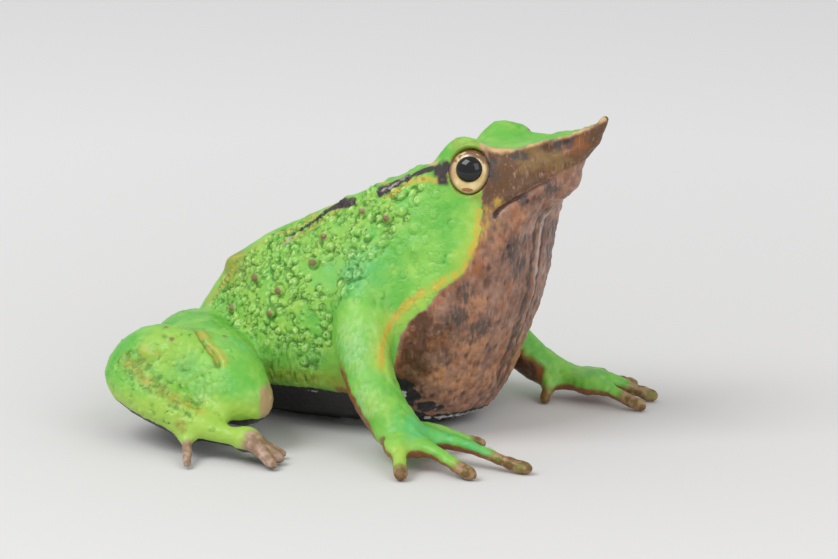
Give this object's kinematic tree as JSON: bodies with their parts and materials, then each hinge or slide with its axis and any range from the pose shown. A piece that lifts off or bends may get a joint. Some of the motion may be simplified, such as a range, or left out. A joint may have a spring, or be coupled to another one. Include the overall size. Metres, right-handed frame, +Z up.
{
  "type": "frog figurine",
  "caption": "Free-standing painted vinyl figurine of a long-nosed frog sitting up on its forelegs, with pegged limbs, a set-in belly plate and glossy bead eyes.",
  "frame": {"origin": "on the surface that the figurine stands on, under the middle of its bounding box", "axes": "+X the way the frog looks, +Y its left side, +Z up"},
  "size_m": [0.0719, 0.0842, 0.0494],
  "materials": {
    "green_skin": "moulded vinyl, hand painted in lime green over brown, yellow and black, satin",
    "black_belly": "moulded vinyl, painted satin black with bare pale edges",
    "eye_gloss": "cream painted ring round a black dome under gloss varnish"
  },
  "bodies": {
    "root": {"back_shell": "green_skin", "belly_plate": "black_belly", "right_foreleg": "green_skin", "left_foreleg": "green_skin", "right_hind_leg": "green_skin", "left_hind_leg": "green_skin", "right_eye": "eye_gloss", "left_eye": "eye_gloss"}
  },
  "joints": []
}
